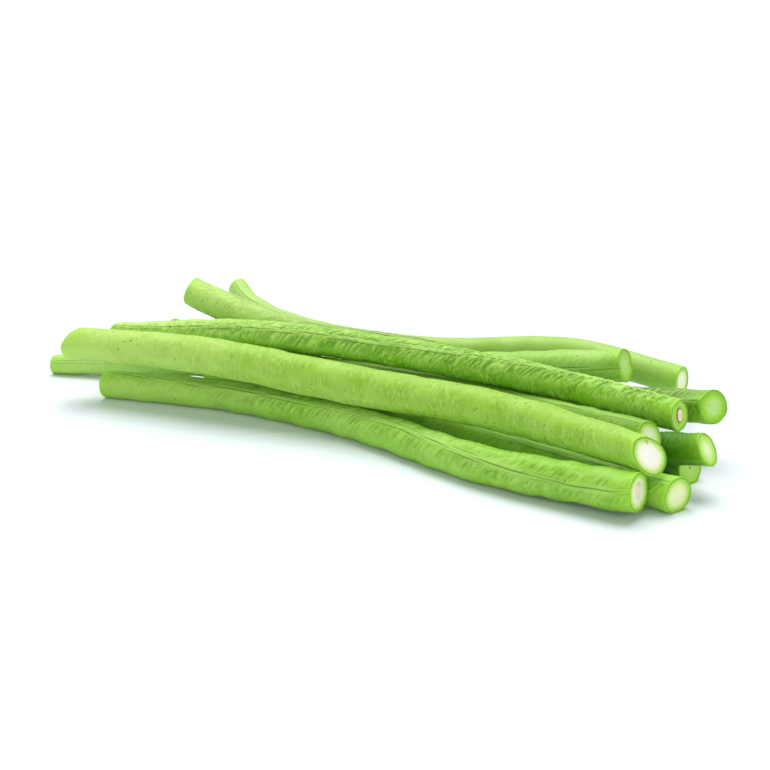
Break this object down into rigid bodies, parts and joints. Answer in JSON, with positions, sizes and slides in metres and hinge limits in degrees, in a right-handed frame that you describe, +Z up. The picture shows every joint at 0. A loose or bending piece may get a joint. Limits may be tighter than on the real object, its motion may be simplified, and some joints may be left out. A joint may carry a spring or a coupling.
{
  "type": "yardlong bean bunch",
  "caption": "Loose pile of long cut yardlong bean pods lying flat, slightly curved and crossing, with pale cut faces at both ends.",
  "frame": {"origin": "under the middle of the bunch's bounding box, on the surface it lies on", "axes": "+X along the pods, towards the cut ends that show their faces; +Y across the pile, towards the back; +Z up"},
  "size_m": [0.255, 0.1112, 0.0381],
  "materials": {
    "pod_skin": "fresh green pod skin, wrinkled, with a soft waxy sheen and pale cut flesh at the ends",
    "seed": "moist cream cut seed"
  },
  "bodies": {
    "root": {"pod_front_low": "pod_skin", "seed_front_low": "seed", "pod_low_second": "pod_skin", "pod_low_back": "pod_skin", "pod_low_middle": "pod_skin", "pod_front_high": "pod_skin", "pod_crossing": "pod_skin", "pod_inner": "pod_skin", "pod_raised": "pod_skin", "pod_far_back": "pod_skin", "pod_top": "pod_skin", "seed_top": "seed"}
  },
  "joints": []
}
